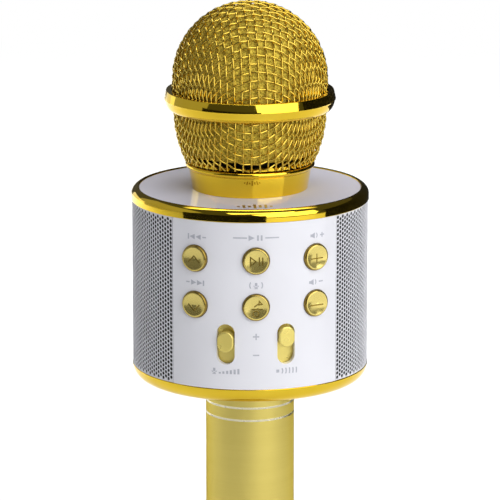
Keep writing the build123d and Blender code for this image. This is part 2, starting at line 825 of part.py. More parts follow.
# ---- Head: threaded ring, lower and upper grille, band and foam ----
with BuildPart() as head_thread_ring:
    revolve(
        outline(
            (17.0, collar_floor + 0.4),
            (collar_bore - 0.1, collar_floor + 0.4),
            (collar_bore - 0.1, collar_top + 0.3),
            (21.2, collar_top + 0.3),
            (21.2, collar_top + 1.3),
            (17.0, collar_top + 1.3),
        ),
        axis=Axis.Z,
    )
save(head_thread_ring, "head_thread_ring")

lower_grille_points = (
    (22.2, mesh_start),
    (23.2, plate_level + 12.1),
    (24.6, plate_level + 16.2),
    (25.3, plate_level + 20.3),
    (25.7, plate_level + 24.5),
    (25.8, band_bottom + 0.6),
)
with BuildPart() as lower_mesh:
    with BuildSketch(Plane.XZ):
        with BuildLine():
            outside = Spline(*lower_grille_points)
            inside = Spline(*[(radius - mesh_thickness, height) for radius, height in lower_grille_points])
            Line(outside @ 0, inside @ 0)
            Line(outside @ 1, inside @ 1)
        make_face()
    revolve(axis=Axis.Z)
save(lower_mesh, "lower_mesh")

band_inner = 24.9
band_radius = 28.75
groove_ceiling = band_bottom + 0.8
groove_floor = band_top - 2.1
with BuildPart() as head_band:
    with BuildSketch(Plane.XZ):
        with BuildLine():
            ThreePointArc((26.0, band_bottom), (27.8, band_bottom + 1.25), (band_radius, band_ridge))
            Polyline(
                (band_radius, band_ridge),
                (28.2, band_top),
                (ball_radius + 0.1, band_top),
                (ball_radius + 0.1, groove_floor),
                (band_inner, groove_floor),
                (band_inner, groove_ceiling),
                (25.9, groove_ceiling),
                (25.9, band_bottom),
                (26.0, band_bottom),
            )
        make_face()
    revolve(axis=Axis.Z)
save(head_band, "head_band")

mesh_inner = ball_radius - mesh_thickness
with BuildPart() as upper_mesh:
    with BuildSketch(Plane.XZ):
        with BuildLine():
            CenterArc((0, ball_centre), ball_radius, 0, 90)
            Line((0, ball_centre + ball_radius), (0, ball_centre + mesh_inner))
            CenterArc((0, ball_centre), mesh_inner, 0, 90)
            Polyline(
                (mesh_inner, ball_centre),
                (mesh_inner, groove_floor + 0.1),
                (ball_radius, groove_floor + 0.1),
                (ball_radius, ball_centre),
            )
        make_face()
    revolve(axis=Axis.Z)
save(upper_mesh, "upper_mesh")

foam_radius = mesh_inner - 0.3
foam_inner = 20.5
with BuildPart() as foam_windscreen:
    with BuildSketch(Plane.XZ):
        with BuildLine():
            CenterArc((0, ball_centre), foam_radius, 0, 90)
            Line((0, ball_centre + foam_radius), (0, ball_centre + foam_inner))
            CenterArc((0, ball_centre), foam_inner, 0, 90)
            Polyline(
                (foam_inner, ball_centre),
                (foam_inner, plate_level + 20.3),
                (18.2, plate_level + 12.1),
                (21.8, plate_level + 12.1),
                (23.4, plate_level + 16.2),
                (24.1, plate_level + 20.3),
                (24.5, plate_level + 24.5),
                (24.6, groove_floor),
                (foam_radius, ball_centre),
            )
        make_face()
    revolve(axis=Axis.Z)
save(foam_windscreen, "foam_windscreen")
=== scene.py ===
"""Karaoke microphone: the looks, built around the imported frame. Metres, +Z up, controls facing -Y."""
import json
import math

import bmesh
import bpy
import numpy as np
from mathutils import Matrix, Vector, noise


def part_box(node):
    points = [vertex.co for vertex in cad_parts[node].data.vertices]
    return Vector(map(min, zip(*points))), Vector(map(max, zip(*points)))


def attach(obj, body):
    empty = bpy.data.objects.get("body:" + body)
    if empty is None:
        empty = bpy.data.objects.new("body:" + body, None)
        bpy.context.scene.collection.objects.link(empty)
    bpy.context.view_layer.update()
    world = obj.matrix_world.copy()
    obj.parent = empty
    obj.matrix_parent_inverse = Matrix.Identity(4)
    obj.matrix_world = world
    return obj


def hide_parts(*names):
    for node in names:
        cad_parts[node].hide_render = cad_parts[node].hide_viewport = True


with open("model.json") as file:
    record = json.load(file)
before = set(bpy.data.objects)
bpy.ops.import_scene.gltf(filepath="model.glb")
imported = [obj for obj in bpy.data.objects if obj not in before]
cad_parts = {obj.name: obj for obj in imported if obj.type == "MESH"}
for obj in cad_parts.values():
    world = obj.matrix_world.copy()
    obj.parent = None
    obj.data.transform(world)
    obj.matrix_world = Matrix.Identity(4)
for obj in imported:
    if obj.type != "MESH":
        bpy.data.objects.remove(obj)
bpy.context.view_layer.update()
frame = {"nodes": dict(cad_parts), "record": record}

MM = 0.001
nodes = frame["nodes"]

# Levels and radii, in millimetres, read from the frame.
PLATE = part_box("top_plate")[1].z / MM
DRUM_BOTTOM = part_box("bottom_trim_ring")[0].z / MM
PANEL_BOTTOM, PANEL_TOP = (corner.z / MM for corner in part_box("front_panel"))
TRIM_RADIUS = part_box("top_trim_ring")[1].x / MM
SHELL_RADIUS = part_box("bottom_trim_ring")[1].x / MM
PLATE_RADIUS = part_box("top_plate")[1].x / MM
HANDLE_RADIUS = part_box("end_cap")[1].x / MM
TUBE_BOTTOM, TUBE_TOP = (corner.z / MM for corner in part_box("handle_tube"))
COLLAR_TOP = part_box("neck_collar")[1].z / MM
BALL_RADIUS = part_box("upper_mesh")[1].x / MM
BALL_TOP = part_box("upper_mesh")[1].z / MM
BALL_CENTRE = BALL_TOP - BALL_RADIUS
MESH_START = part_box("lower_mesh")[0].z / MM
BAND_BOTTOM, BAND_TOP = (corner.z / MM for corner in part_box("head_band"))
BAND_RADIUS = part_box("head_band")[1].x / MM
BUTTON_FACE = -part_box("play_button")[0].y / MM

# The push buttons: a round dish in each face, in millimetres, and each column's azimuth in degrees.
DISH_WIDTH = 7.4
DISH_DEPTH = 0.3
DISH_RADIUS = (DISH_WIDTH**2 / 4 + DISH_DEPTH**2) / (2 * DISH_DEPTH)
SIDE_COLUMN = 30
BUTTON_AZIMUTHS = {
    "previous_button": -SIDE_COLUMN,
    "next_button": -SIDE_COLUMN,
    "play_button": 0,
    "voice_button": 0,
    "volume_up_button": SIDE_COLUMN,
    "volume_down_button": SIDE_COLUMN,
}


# ---- Materials ----
NOISE_LOW, NOISE_HIGH = 0.3, 0.7
# How far below the dish, in millimetres, the painted shade on a button's gold starts and is at its darkest.
SHADE_START, SHADE_END = 0.05, 0.16


class Shader:
    """A material's node tree, with short calls to add and join nodes."""

    def __init__(self, name):
        self.material = bpy.data.materials.new(name)
        self.material.use_nodes = True
        self.tree = self.material.node_tree
        self.principled = self.tree.nodes["Principled BSDF"]

    def set(self, **sockets):
        """Sets sockets of the principled shader, with _ for each space in a socket's name."""
        for name, value in sockets.items():
            self.principled.inputs[name.replace("_", " ")].default_value = value
        return self

    def add(self, kind, **values):
        """A new node, with values for its properties or its sockets."""
        node = self.tree.nodes.new(kind)
        for name, value in values.items():
            if hasattr(node, name) and name not in node.inputs:
                setattr(node, name, value)
            else:
                node.inputs[name.replace("_", " ")].default_value = value
        return node

    def join(self, source, target):
        self.tree.links.new(source, target)

    def place(self, scale=(1, 1, 1)):
        """Object coordinates, stretched by scale."""
        where = self.add("ShaderNodeTexCoord")
        mapping = self.add("ShaderNodeMapping")
        mapping.inputs["Scale"].default_value = scale
        self.join(where.outputs["Object"], mapping.inputs["Vector"])
        return mapping.outputs["Vector"]

    def noise(self, scale, detail=3.0, stretch=(1, 1, 1), roughness=0.5):
        """Noise that is fixed to the piece, mostly between NOISE_LOW and NOISE_HIGH."""
        texture = self.add("ShaderNodeTexNoise", Scale=scale, Detail=detail, Roughness=roughness)
        self.join(self.place(stretch), texture.inputs["Vector"])
        return texture.outputs["Fac"]

    def span(self, value, low, high):
        """Maps noise onto low..high."""
        ranged = self.add("ShaderNodeMapRange")
        ranged.inputs["From Min"].default_value = NOISE_LOW
        ranged.inputs["From Max"].default_value = NOISE_HIGH
        ranged.inputs["To Min"].default_value = low
        ranged.inputs["To Max"].default_value = high
        self.join(value, ranged.inputs["Value"])
        return ranged.outputs["Result"]

    def tint(self, value, first, second):
        """Colours the piece between first and second, by value."""
        ramp = self.add("ShaderNodeValToRGB")
        start, end = ramp.color_ramp.elements
        start.position, start.color = NOISE_LOW, (*first, 1)
        end.position, end.color = NOISE_HIGH, (*second, 1)
        self.join(value, ramp.inputs["Fac"])
        self.join(ramp.outputs["Color"], self.principled.inputs["Base Color"])

    def rough(self, value, low, high):
        """Roughness between low and high, by value."""
        self.join(self.span(value, low, high), self.principled.inputs["Roughness"])

    def bump(self, value, height):
        """Relief of a height in metres, by value."""
        node = self.add("ShaderNodeBump", Strength=1.0, Distance=height)
        self.join(value, node.inputs["Height"])
        self.join(node.outputs["Normal"], self.principled.inputs["Normal"])


def polished_gold(name, deep, bright, low=0.03, high=0.09, ripple=0.00002):
    """Plated metal: slight tone changes, fine smears in the gloss and a faint ripple."""
    shader = Shader(name).set(Metallic=1.0)
    shader.tint(shader.noise(60, 4), deep, bright)
    shader.rough(shader.noise(350, 5, roughness=0.7), low, high)
    shader.bump(shader.noise(120, 2), ripple)
    return shader.material


def button_gold(name, dish_centre):
    """Metallised plastic, with painted shade in the engraved sign and down the sides, which lie below the
    dish.
    """
    shader = Shader(name).set(Metallic=0.78)
    where = shader.add("ShaderNodeTexCoord").outputs["Object"]
    reach = shader.add("ShaderNodeVectorMath", operation="DISTANCE")
    reach.inputs[1].default_value = dish_centre
    shader.join(where, reach.inputs[0])
    depth = shader.add("ShaderNodeMapRange")
    depth.inputs["From Min"].default_value = (DISH_RADIUS + SHADE_START) * MM
    depth.inputs["From Max"].default_value = (DISH_RADIUS + SHADE_END) * MM
    shader.join(reach.outputs["Value"], depth.inputs["Value"])
    # Painted shade: the gold darkens with depth below the dish, in the engraved sign and round the button's
    # sides.
    ramp = shader.add("ShaderNodeValToRGB")
    ramp.color_ramp.elements[0].color = (0.86, 0.70, 0.21, 1)
    ramp.color_ramp.elements[1].color = (0.30, 0.20, 0.03, 1)
    shader.join(depth.outputs["Result"], ramp.inputs["Fac"])
    shader.join(ramp.outputs["Color"], shader.principled.inputs["Base Color"])
    shader.rough(shader.noise(300, 2), 0.11, 0.14)
    return shader.material


def plated_plastic(name, deep, bright):
    """Satin gold plating on plastic."""
    shader = Shader(name).set(Metallic=0.6)
    shader.tint(shader.noise(60, 1), deep, bright)
    shader.rough(shader.noise(150, 1), 0.27, 0.30)
    return shader.material


def anodised(name, deep, bright):
    """Satin anodised tube with fine lines turned around it."""
    shader = Shader(name).set(Metallic=1.0, Anisotropic=0.3, Specular_Tint=(0.48, 0.39, 0.18, 1))
    lines = shader.noise(900, 4, stretch=(0.04, 0.04, 6.0), roughness=0.65)
    shader.tint(shader.noise(140, 3, stretch=(0.3, 0.3, 3.0)), deep, bright)
    shader.rough(lines, 0.40, 0.50)
    shader.bump(lines, 0.000012)
    return shader.material


def gloss_plastic(name, first, second, low=0.08, high=0.16):
    """Moulded glossy plastic: a soft ripple and uneven gloss."""
    shader = Shader(name).set(Coat_Weight=0.35, Coat_Roughness=0.04, IOR=1.5)
    shader.tint(shader.noise(35, 2), first, second)
    shader.rough(shader.noise(220, 4), low, high)
    shader.bump(shader.noise(90, 2), 0.00001)
    return shader.material


def matte_plastic(name, first, second, grain=0.00003):
    """Moulded plastic, rubber, card or cloth with a fine grain."""
    shader = Shader(name)
    shader.tint(shader.noise(200, 4), first, second)
    shader.rough(shader.noise(500, 3), 0.45, 0.65)
    shader.bump(shader.noise(2500, 2), grain)
    return shader.material


def painted_metal(name, first, second):
    """Sheet metal under a satin paint."""
    shader = Shader(name).set(IOR=1.45)
    shader.tint(shader.noise(150, 4), first, second)
    shader.rough(shader.noise(600, 3), 0.38, 0.52)
    shader.bump(shader.noise(1800, 2), 0.00001)
    return shader.material


def bare_metal(name, first, second, low=0.2, high=0.35):
    """Plain metal with faint marks along it."""
    shader = Shader(name).set(Metallic=1.0)
    shader.tint(shader.noise(300, 4), first, second)
    shader.rough(shader.noise(700, 4, stretch=(1, 1, 4)), low, high)
    return shader.material


def foam_material(name):
    """Open cells: an olive gold skin with painted shade in its pores, which the bump also sinks."""
    shader = Shader(name).set(Roughness=0.95)
    cells = shader.add("ShaderNodeTexVoronoi", Scale=1500.0)
    shader.join(shader.place(), cells.inputs["Vector"])
    mixed = shader.add("ShaderNodeMath", operation="MULTIPLY")
    shader.join(cells.outputs["Distance"], mixed.inputs[0])
    shader.join(shader.span(shader.noise(300, 4), 0.7, 1.3), mixed.inputs[1])
    # Painted shade: the colour goes dark towards each cell's centre, in the pores.
    shader.tint(mixed.outputs["Value"], (0.40, 0.29, 0.02), (0.82, 0.62, 0.07))
    shader.bump(mixed.outputs["Value"], 0.0004)
    return shader.material


def circuit_board(name):
    """Green lacquer over a pattern of tracks."""
    shader = Shader(name).set(Coat_Weight=0.5, Coat_Roughness=0.1)
    tracks = shader.add("ShaderNodeTexBrick", Scale=250.0)
    tracks.inputs["Color1"].default_value = (0.01, 0.10, 0.03, 1)
    tracks.inputs["Color2"].default_value = (0.012, 0.13, 0.045, 1)
    tracks.inputs["Mortar"].default_value = (0.03, 0.22, 0.08, 1)
    shader.join(shader.place(), tracks.inputs["Vector"])
    shader.join(tracks.outputs["Color"], shader.principled.inputs["Base Color"])
    shader.rough(shader.noise(400, 3), 0.3, 0.45)
    return shader.material


finishes = {
    "gold_polished": polished_gold("gold_polished", (0.84, 0.57, 0.035), (0.90, 0.63, 0.05)),
    "gold_buttons": plated_plastic("gold_buttons", (0.84, 0.69, 0.18), (0.88, 0.73, 0.21)),
    "gold_anodised": anodised("gold_anodised", (0.78, 0.64, 0.17), (0.80, 0.66, 0.18)),
    "gold_wire": polished_gold("gold_wire", (0.70, 0.49, 0.06), (0.82, 0.60, 0.10), 0.12, 0.22),
    "white_gloss": gloss_plastic("white_gloss", (0.80, 0.80, 0.85), (0.83, 0.83, 0.88)),
    "grille_paint": painted_metal("grille_paint", (0.74, 0.74, 0.79), (0.79, 0.79, 0.84)),
    "foam": foam_material("foam"),
    "dark_plastic": matte_plastic("dark_plastic", (0.012, 0.012, 0.013), (0.02, 0.02, 0.022)),
    "grey_plastic": matte_plastic("grey_plastic", (0.02, 0.02, 0.02), (0.03, 0.03, 0.03)),
    "rubber": matte_plastic("rubber", (0.012, 0.012, 0.012), (0.02, 0.02, 0.02), 0.00006),
    "circuit_board": circuit_board("circuit_board"),
    "steel": bare_metal("steel", (0.55, 0.55, 0.56), (0.68, 0.68, 0.68)),
    "black_steel": painted_metal("black_steel", (0.012, 0.012, 0.012), (0.02, 0.02, 0.02)),
    "paper_cone": matte_plastic("paper_cone", (0.012, 0.012, 0.012), (0.03, 0.03, 0.03), 0.0001),
    "battery_wrap": gloss_plastic("battery_wrap", (0.02, 0.08, 0.30), (0.03, 0.10, 0.34)),
    "nickel": bare_metal("nickel", (0.62, 0.61, 0.58), (0.74, 0.73, 0.70), 0.12, 0.25),
    "light_pipe": gloss_plastic("light_pipe", (0.60, 0.66, 0.72), (0.70, 0.76, 0.82)),
}
for row in frame["record"]["subparts"]:
    slots = nodes[row["node"]].data.materials
    slots.clear()
    slots.append(finishes[row["material_slot"]])

# The top plate is glossier than the panels, but mirrors less.
plate_gloss = gloss_plastic("plate_gloss", (0.84, 0.83, 0.95), (0.86, 0.85, 0.97), 0.03, 0.06)
plate_sockets = plate_gloss.node_tree.nodes["Principled BSDF"].inputs
plate_sockets["Specular IOR Level"].default_value = 0.3
plate_sockets["Coat Weight"].default_value = 0.1
nodes["top_plate"].data.materials[0] = plate_gloss

for button, azimuth in BUTTON_AZIMUTHS.items():
    low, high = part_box(button)
    turn = math.radians(azimuth)
    reach = (BUTTON_FACE + DISH_RADIUS - DISH_DEPTH) * MM
    dish_centre = (reach * math.sin(turn), -reach * math.cos(turn), (low.z + high.z) / 2)
    nodes[button].data.materials[0] = button_gold(button + "_gold", dish_centre)


# ---- Mesh helpers ----
def make_piece(name, vertices, faces, slot, body, node_names=(), sharp=30, material=None):
    """A mesh piece from millimetre vertices, riding on a body and standing for CAD nodes."""
    mesh = bpy.data.meshes.new(name)
    mesh.from_pydata([tuple(c * MM for c in v) for v in vertices], [], faces)
    mesh.validate()
    mesh.shade_smooth()
    mesh.set_sharp_from_angle(angle=math.radians(sharp))
    mesh.materials.append(material or finishes[slot])
    piece = bpy.data.objects.new(name, mesh)
    bpy.context.scene.collection.objects.link(piece)
    if node_names:
        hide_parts(*node_names)
    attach(piece, body)
    return piece


def bow(centre, radius, start, end, steps=8):
    """Points of a circular arc, in degrees, in an outline of (radius, height)."""
    angles = [math.radians(start + (end - start) * i / steps) for i in range(steps + 1)]
    return [(centre[0] + radius * math.cos(a), centre[1] + radius * math.sin(a)) for a in angles]


def smooth_line(points, steps=6):
    """A soft curve through outline points."""
    line = []
    padded = [points[0], *points, points[-1]]
    for a, b, c, d in zip(padded, padded[1:], padded[2:], padded[3:]):
        for i in range(steps):
            t = i / steps
            line.append(tuple(
                0.5 * (
                    2 * q
                    + (r - p) * t
                    + (2 * p - 5 * q + 4 * r - s) * t**2
                    + (3 * q - p - 3 * r + s) * t**3
                )
                for p, q, r, s in zip(a, b, c, d)
            ))
    return line + [points[-1]]


def lathe(name, outline, slot, body, node_names=(), segments=192, sharp=30):
    """Turns a closed outline of (radius, height) points about the microphone's axis."""
    vertices, faces, count = [], [], len(outline)
    for k in range(segments):
        angle = 2 * math.pi * k / segments
        vertices += [(r * math.cos(angle), r * math.sin(angle), z) for r, z in outline]
    for k in range(segments):
        here, there = k * count, ((k + 1) % segments) * count
        for i in range(count):
            j = (i + 1) % count
            faces.append((here + i, there + i, there + j, here + j))
    piece = make_piece(name, vertices, faces, slot, body, node_names, sharp)
    work = bmesh.new()
    work.from_mesh(piece.data)
    bmesh.ops.remove_doubles(work, verts=work.verts, dist=1e-6)
    bmesh.ops.recalc_face_normals(work, faces=work.faces)
    work.to_mesh(piece.data)
    work.free()
    return piece


# ---- Rings, collar, band and handle: turned metal ----
lathe(
    "top_trim_ring_polished",
    [(PLATE_RADIUS + 0.1, PLATE - 2.0), (37.9, PLATE - 2.0), (37.9, PANEL_TOP + 0.05)]
    + bow((TRIM_RADIUS - 0.12, PANEL_TOP + 0.17), 0.12, -90, 0, 4)
    + [(TRIM_RADIUS, PANEL_TOP + 0.24), (TRIM_RADIUS, PLATE - 2.5)]
    + smooth_line([
        (TRIM_RADIUS, PLATE - 2.2),
        (39.96, PLATE - 1.7),
        (39.8, PLATE - 1.1),
        (39.25, PLATE - 0.3),
        (38.4, PLATE + 0.3),
        (37.75, PLATE + 0.42),
    ])
    + bow((PLATE_RADIUS + 0.5, PLATE), 0.4, 70, 180, 4),
    "gold_polished", "drum", ["top_trim_ring"], sharp=50,
)
ring_top = PANEL_BOTTOM - 0.05
ring_round = ring_top - DRUM_BOTTOM
lathe(
    "bottom_trim_ring_polished",
    [(37.7, ring_top), (37.7, DRUM_BOTTOM + 2.0), (34.5, DRUM_BOTTOM + 2.0), (34.5, DRUM_BOTTOM)]
    + bow((SHELL_RADIUS - ring_round, ring_top), ring_round, -90, -5, 18)
    + bow((SHELL_RADIUS - 0.2, ring_top - 0.2), 0.2, 0, 90, 4),
    "gold_polished", "drum", ["bottom_trim_ring"], sharp=50,
)
collar_wall = smooth_line([
    (19.5, PLATE + 0.05),
    (19.72, PLATE + 1.4),
    (20.0, PLATE + 3.0),
    (20.3, PLATE + 4.9),
    (20.5, PLATE + 6.7),
])
lathe(
    "neck_collar_polished",
    [(7.5, PLATE + 3.0), (7.5, PLATE + 0.05)]
    + collar_wall
    + bow((20.75, PLATE + 6.75), 0.3, 180, 90, 4)
    + bow((20.8, PLATE + 8.05), 0.95, -75, 75, 12)
    + bow((18.9, COLLAR_TOP - 0.3), 0.3, 90, 180, 4)
    + [(18.6, PLATE + 3.0)],
    "gold_polished", "drum", ["neck_collar"], sharp=50,
)
lathe(
    "head_band_polished",
    smooth_line([
        (26.05, BAND_BOTTOM),
        (26.9, BAND_BOTTOM + 0.25),
        (27.65, BAND_BOTTOM + 1.0),
        (28.15, BAND_BOTTOM + 2.05),
        (28.55, BAND_BOTTOM + 3.45),
    ], 4)
    + bow((BAND_RADIUS - 0.3, BAND_BOTTOM + 3.8), 0.3, -12, 10, 4)
    + bow((27.85, BAND_TOP - 0.3), 0.3, 12, 90, 5)
    + [
        (BALL_RADIUS + 0.1, BAND_TOP),
        (BALL_RADIUS + 0.1, BAND_TOP - 2.1),
        (24.9, BAND_TOP - 2.1),
        (24.9, BAND_BOTTOM + 0.8),
        (25.9, BAND_BOTTOM + 0.8),
        (25.9, BAND_BOTTOM + 0.03),
    ],
    "gold_polished", "head", ["head_band"], sharp=50,
)

GROOVES = (105.3, 109.6)
GROOVE_HALF = 0.36
GROOVE_DEPTH = 0.25
tube_outside = [(HANDLE_RADIUS - 0.2, TUBE_BOTTOM), (HANDLE_RADIUS, TUBE_BOTTOM + 0.2)]
for height in GROOVES:
    tube_outside += [
        (HANDLE_RADIUS, height - GROOVE_HALF),
        (HANDLE_RADIUS - GROOVE_DEPTH, height),
        (HANDLE_RADIUS, height + GROOVE_HALF),
    ]
tube = lathe(
    "handle_tube_anodised",
    tube_outside
    + [
        (HANDLE_RADIUS, TUBE_TOP),
        (HANDLE_RADIUS - 1.5, TUBE_TOP),
        (HANDLE_RADIUS - 1.5, TUBE_BOTTOM),
    ],
    "gold_anodised", "drum", ["handle_tube"], sharp=20,
)
cut_metal = polished_gold("diamond_cut", (0.93, 0.88, 0.66), (0.98, 0.94, 0.76), 0.24, 0.32)
tube.data.materials.append(cut_metal)
for face in tube.data.polygons:
    outside = math.hypot(face.center.x, face.center.y) > (HANDLE_RADIUS - GROOVE_DEPTH - 0.2) * MM
    if outside and any(abs(face.center.z / MM - height) < GROOVE_HALF for height in GROOVES):
        face.material_index = 1


# ---- Woven wire grilles ----
PITCH = 2.8  # distance between crossings, mm
WIRE = 0.30  # radius of a wire, mm
WAVE = 0.26  # how far a wire bends out or in at a crossing, mm
STEPS = 4  # steps along a wire between crossings
SIDES = 8  # sides of a wire's section
NET_LIMIT = 40  # most cells along a quarter's edge
WIDEST_CELL = 1.98 * PITCH  # a cell whose corners lie further apart is laid flat, so it is left out
NARROWEST_CELL = 0.3


def ball_surface(p):
    """Zero on the middle surface of the upper grille: a dome on a short straight wall."""
    height = max(p[2] - BALL_CENTRE, 0.0)
    return math.sqrt(p[0] ** 2 + p[1] ** 2 + height**2) - (BALL_RADIUS - WIRE - WAVE)


BOWL_OUTSIDE = 25.8
BOWL_RADIUS = BOWL_OUTSIDE - WIRE - WAVE
BOWL_DEPTH = 32.6


def bowl_surface(p):
    """Zero on the middle surface of the lower grille: a deep bowl, open where the collar starts."""
    depth = max(BAND_BOTTOM - p[2], 0.0) / BOWL_DEPTH
    return math.hypot(p[0], p[1]) / BOWL_RADIUS - math.sqrt(max(1 - depth**2, 1e-9))


def slope(surface, p):
    """The direction and the rate at which the surface's value grows at p."""
    step = 1e-4
    return np.array([(surface(p + d) - surface(p - d)) / (2 * step) for d in np.eye(3) * step])


def settle(surface, p, holds=()):
    """Moves p onto the surface, at one pitch from each point in holds."""
    for _ in range(40):
        rows = [slope(surface, p)]
        gaps = [surface(p)]
        for held in holds:
            rows.append(2 * (p - held))
            gaps.append((p - held) @ (p - held) - PITCH**2)
        move = np.linalg.lstsq(np.array(rows), -np.array(gaps), rcond=None)[0]
        length = np.linalg.norm(move)
        p = p + move * min(1, 1.0 / max(length, 1e-9))
        if length < 1e-7:
            break
    return p


def draped_quarter(surface, pole, inside, turn):
    """A quarter of a net of even cells laid over the surface from its pole, as a dictionary."""
    across = [
        np.array([math.sin(turn), -math.cos(turn), 0]),
        np.array([math.cos(turn), math.sin(turn), 0]),
    ]
    net = {(0, 0): pole}
    for side, way in enumerate(across):
        here, heading = pole, way
        for i in range(1, NET_LIMIT):
            guess = settle(surface, here + heading * PITCH)
            for _ in range(12):
                flat = guess - (guess @ across[1 - side]) * across[1 - side]
                guess = settle(surface, flat, [here])
            heading = (guess - here) / np.linalg.norm(guess - here)
            here = guess
            net[(i, 0) if side == 0 else (0, i)] = here
            if not inside(here):
                break
    for total in range(2, 2 * NET_LIMIT):
        for i in range(1, total):
            j = total - i
            left, right, back = net.get((i - 1, j)), net.get((i, j - 1)), net.get((i - 1, j - 1))
            if left is None or right is None or back is None:
                continue
            if not (inside(left) or inside(right)):
                continue
            if NARROWEST_CELL <= np.linalg.norm(left - right) <= WIDEST_CELL:
                net[(i, j)] = settle(surface, left + right - back, [left, right])
    return net


def whole_net(quarter):
    """Turns the quarter net four ways into the whole net."""
    net = {}
    for (a, b), p in quarter.items():
        x, y, z = p
        net[(a, b)] = p
        net[(-b, a)] = np.array([-y, x, z])
        net[(-a, -b)] = np.array([-x, -y, z])
        net[(b, -a)] = np.array([y, -x, z])
    return net


def thread_line(surface, points, phases):
    """Points along one wire, weaving over and under at each crossing."""
    line = []
    for k, (p, phase) in enumerate(zip(points, phases)):
        line.append((p, phase))
        if k + 1 < len(points):
            for s in range(1, STEPS):
                t = s / STEPS
                between = settle(surface, p * (1 - t) + points[k + 1] * t)
                line.append((between, phase * math.cos(math.pi * t)))
    made = []
    for p, phase in line:
        out = slope(surface, p)
        out = out / np.linalg.norm(out)
        made.append((p + out * WAVE * phase, out))
    return made


def clipped(line, low, high):
    """The stretches of a wire between two heights, cut exactly at them."""
    stretches, current = [], []
    for (p, out), (q, out_next) in zip(line, line[1:]):
        inside_p, inside_q = low <= p[2] <= high, low <= q[2] <= high
        if inside_p:
            current.append((p, out))
        if inside_p != inside_q:
            edge = low if min(p[2], q[2]) < low else high
            t = (edge - p[2]) / (q[2] - p[2])
            current.append((p + (q - p) * t, out))
            if inside_p:
                stretches.append(current)
                current = []
    if current:
        if low <= line[-1][0][2] <= high:
            current.append(line[-1])
        stretches.append(current)
    return [s for s in stretches if len(s) > 2]


def sweep_wire(line, vertices, faces):
    """A round wire along the line, closed at both ends."""
    first = len(vertices)
    count = len(line)
    for k, (p, out) in enumerate(line):
        ahead = line[min(k + 1, count - 1)][0] - line[max(k - 1, 0)][0]
        ahead = ahead / max(np.linalg.norm(ahead), 1e-9)
        side = np.cross(ahead, out)
        side = side / max(np.linalg.norm(side), 1e-9)
        up = np.cross(side, ahead)
        for s in range(SIDES):
            angle = 2 * math.pi * s / SIDES
            vertices.append(p + (side * math.cos(angle) + up * math.sin(angle)) * WIRE)
    for k in range(count - 1):
        for s in range(SIDES):
            a = first + k * SIDES + s
            b = first + k * SIDES + (s + 1) % SIDES
            faces.append((a, b, b + SIDES, a + SIDES))
    faces.append(tuple(first + s for s in reversed(range(SIDES))))
    last = first + (count - 1) * SIDES
    faces.append(tuple(last + s for s in range(SIDES)))


def woven(name, surface, pole, inside, turn, low, high, node_name):
    """A bowl of wires in two families, each over and under the other, cut off at two heights."""
    net = whole_net(draped_quarter(surface, np.array(pole), inside, math.radians(turn)))
    reach = max(max(abs(a), abs(b)) for a, b in net)
    vertices, faces = [], []
    for family in (0, 1):
        for fixed in range(-reach, reach + 1):
            runs, run, phases = [], [], []
            for moving in range(-reach, reach + 2):
                key = (fixed, moving) if family == 0 else (moving, fixed)
                if key in net:
                    run.append(net[key])
                    over = 1 if (fixed + moving) % 2 == 0 else -1
                    phases.append(over if family == 0 else -over)
                elif run:
                    runs.append((run, phases))
                    run, phases = [], []
            for points, ups in runs:
                if len(points) < 2:
                    continue
                for stretch in clipped(thread_line(surface, points, ups), low, high):
                    sweep_wire(stretch, vertices, faces)
    make_piece(name, vertices, faces, "gold_wire", "head", [node_name], sharp=80)


upper_edge = BAND_TOP - 1.6
woven(
    "upper_grille_woven", ball_surface, (0, 0, BALL_TOP - WIRE - WAVE),
    lambda p: p[2] > upper_edge, 3.5, upper_edge, BALL_TOP + 1, "upper_mesh",
)
woven(
    "lower_grille_woven", bowl_surface, (0, 0, BAND_BOTTOM - BOWL_DEPTH),
    lambda p: p[2] < BAND_BOTTOM + 0.7, -1.5, MESH_START + 0.05, BAND_BOTTOM + 0.6, "lower_mesh",
)

# ---- Foam windscreen inside the ball ----
FOAM_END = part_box("foam_windscreen")[0].z / MM
FOAM_OUTSIDE = BALL_RADIUS - 1.35
FOAM_INSIDE = 20.7
CELL_RISE = 0.13
CELL_RISE_MOST = 0.14
foam_shape = (
    bow((0, BALL_CENTRE), FOAM_OUTSIDE, 0, 89.5, 40)
    + bow((0, BALL_CENTRE), FOAM_INSIDE, 89.5, 0, 20)
    + [
        (FOAM_INSIDE, FOAM_END + 8.3),
        (20.0, FOAM_END + 4.8),
        (18.8, FOAM_END + 0.7),
        (19.2, FOAM_END + 0.15),
    ]
    + smooth_line([
        (21.1, FOAM_END + 0.15),
        (21.7, FOAM_END + 0.7),
        (23.1, FOAM_END + 4.4),
        (23.9, FOAM_END + 8.2),
        (24.3, FOAM_END + 12.4),
        (24.4, FOAM_END + 18.3),
    ], 5)
)
foam = lathe(
    "foam_windscreen_cells", foam_shape, "foam", "head", ["foam_windscreen"], segments=220, sharp=180,
)
for vertex in foam.data.vertices:
    at = vertex.co / MM
    rise = noise.fractal(at * 0.55, 0.8, 2.1, 4) * CELL_RISE
    away = Vector((at.x, at.y, max(at.z - BALL_CENTRE, 0))).normalized()
    vertex.co += away * min(rise, CELL_RISE_MOST) * MM


# ---- Perforated side grilles ----
HOLE_RADIUS = 0.61
HOLE_SIDES = 12
ROW_PITCH = 1.435
COLUMN_PITCH = 1.24
EDGE_STEPS = 4  # steps along a cell's straight edge
EDGE_STEP = ROW_PITCH / EDGE_STEPS
ROW_MARGIN = 0.3
SHEET = 0.2
SHEET_INSET = 0.15  # from the drum's outside to the sheet's
CLOTH_FRONT, CLOTH_BACK = 1.1, 1.9  # depths of the cloth, in sheet thicknesses
CLOTH_STEPS = 40

speaker_cloth = matte_plastic("speaker_cloth", (0.006, 0.006, 0.007), (0.012, 0.012, 0.013), 0.00008)


def ordered(points, forward):
    """The points, the other way round unless forward."""
    return points if forward else points[::-1]


